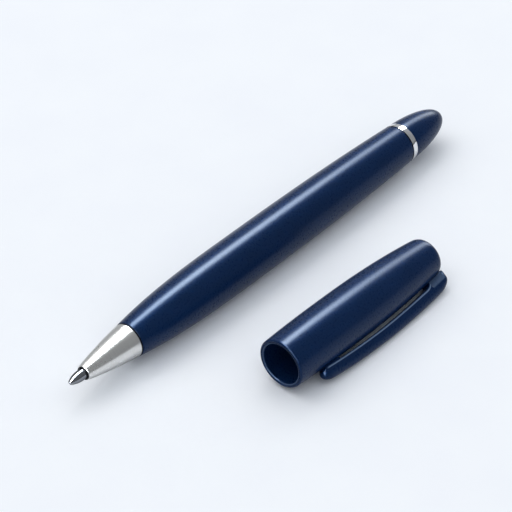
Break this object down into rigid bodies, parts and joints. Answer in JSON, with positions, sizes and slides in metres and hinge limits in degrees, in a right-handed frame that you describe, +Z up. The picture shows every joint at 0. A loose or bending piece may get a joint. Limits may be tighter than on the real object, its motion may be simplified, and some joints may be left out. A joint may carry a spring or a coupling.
{
  "type": "capped rollerball pen",
  "caption": "Rollerball pen lying on a table with its cap taken off: navy barrel, screw-off steel nose, sprung refill, silver tail ring, and a cap with a pocket clip.",
  "frame": {"origin": "middle of the rectangle that the pen and its cap cover on the table, at table height", "axes": "+X along the pen from its tip to its tail, +Z up, the cap lies on the -Y side of the pen"},
  "size_m": [0.1286, 0.0454, 0.0131],
  "materials": {
    "navy_lacquer": "deep gloss",
    "satin_steel": "satin, fine lines round the axis",
    "polished_steel": "polished",
    "bright_trim": "bright plated",
    "black_plastic": "moulded, semi-matt",
    "dark_lining": "moulded, semi-matt",
    "seal_rubber": "matt",
    "brass_bush": "machined",
    "clear_plastic": "translucent white",
    "ink_fibre": "bonded fibre, wet with ink",
    "spring_steel": "drawn wire"
  },
  "bodies": {
    "pen_body": {"barrel": "navy_lacquer", "front_insert": "brass_bush", "tail_insert": "black_plastic", "trim_ring": "bright_trim", "finial": "navy_lacquer", "refill_spring": "spring_steel"},
    "seal": {"seal_ring": "seal_rubber"},
    "nose": {"nose_cone": "satin_steel", "nose_bush": "black_plastic"},
    "refill": {"refill_tip": "polished_steel", "refill_neck": "black_plastic", "refill_tube": "clear_plastic", "feed_rod": "ink_fibre", "ink_filler": "ink_fibre", "refill_end_plug": "black_plastic", "spring_cup": "black_plastic"},
    "ball": {"writing_ball": "polished_steel"},
    "cap": {"cap_shell": "navy_lacquer", "cap_liner": "dark_lining", "clip_lock": "black_plastic"},
    "clip": {"clip": "navy_lacquer"}
  },
  "joints": [
    {"name": "nose_turn", "type": "hinge", "parent": "seal", "child": "nose", "pos_m": [-0.0456, 0.01655, 0.00612], "axis": [-1, 0, 0], "range_deg": [0, 1260.5]},
    {"name": "seal_slide", "type": "slide", "parent": "pen_body", "child": "seal", "axis": [-1, 0, 0], "range_m": [0, 0.0035]},
    {"name": "refill_float", "type": "slide", "parent": "pen_body", "child": "refill", "axis": [1, 0, 0], "range_m": [0, 0.0015], "stiffness_N_per_m": 200, "springref_m": -0.002, "deforming": ["refill_spring"]},
    {"name": "ball_spin", "type": "hinge", "parent": "refill", "child": "ball", "pos_m": [-0.06389, 0.01655, 0.00612], "axis": [0, 1, 0], "continuous": true},
    {"name": "cap_slide", "type": "slide", "parent": "pen_body", "child": "cap", "axis": [1, 0, 0], "range_m": [0, 0.096]},
    {"name": "clip_flex", "type": "hinge", "parent": "cap", "child": "clip", "pos_m": [0.01947, -0.01826, 0.003], "axis": [0.0214, -0.5736, 0.8189], "range_deg": [0, 3.5], "stiffness_Nm_per_rad": 0.5}
  ],
  "couplings": [
    {"joint": "nose_turn", "follows": "seal_slide", "rad_per_m": 6283.2}
  ]
}
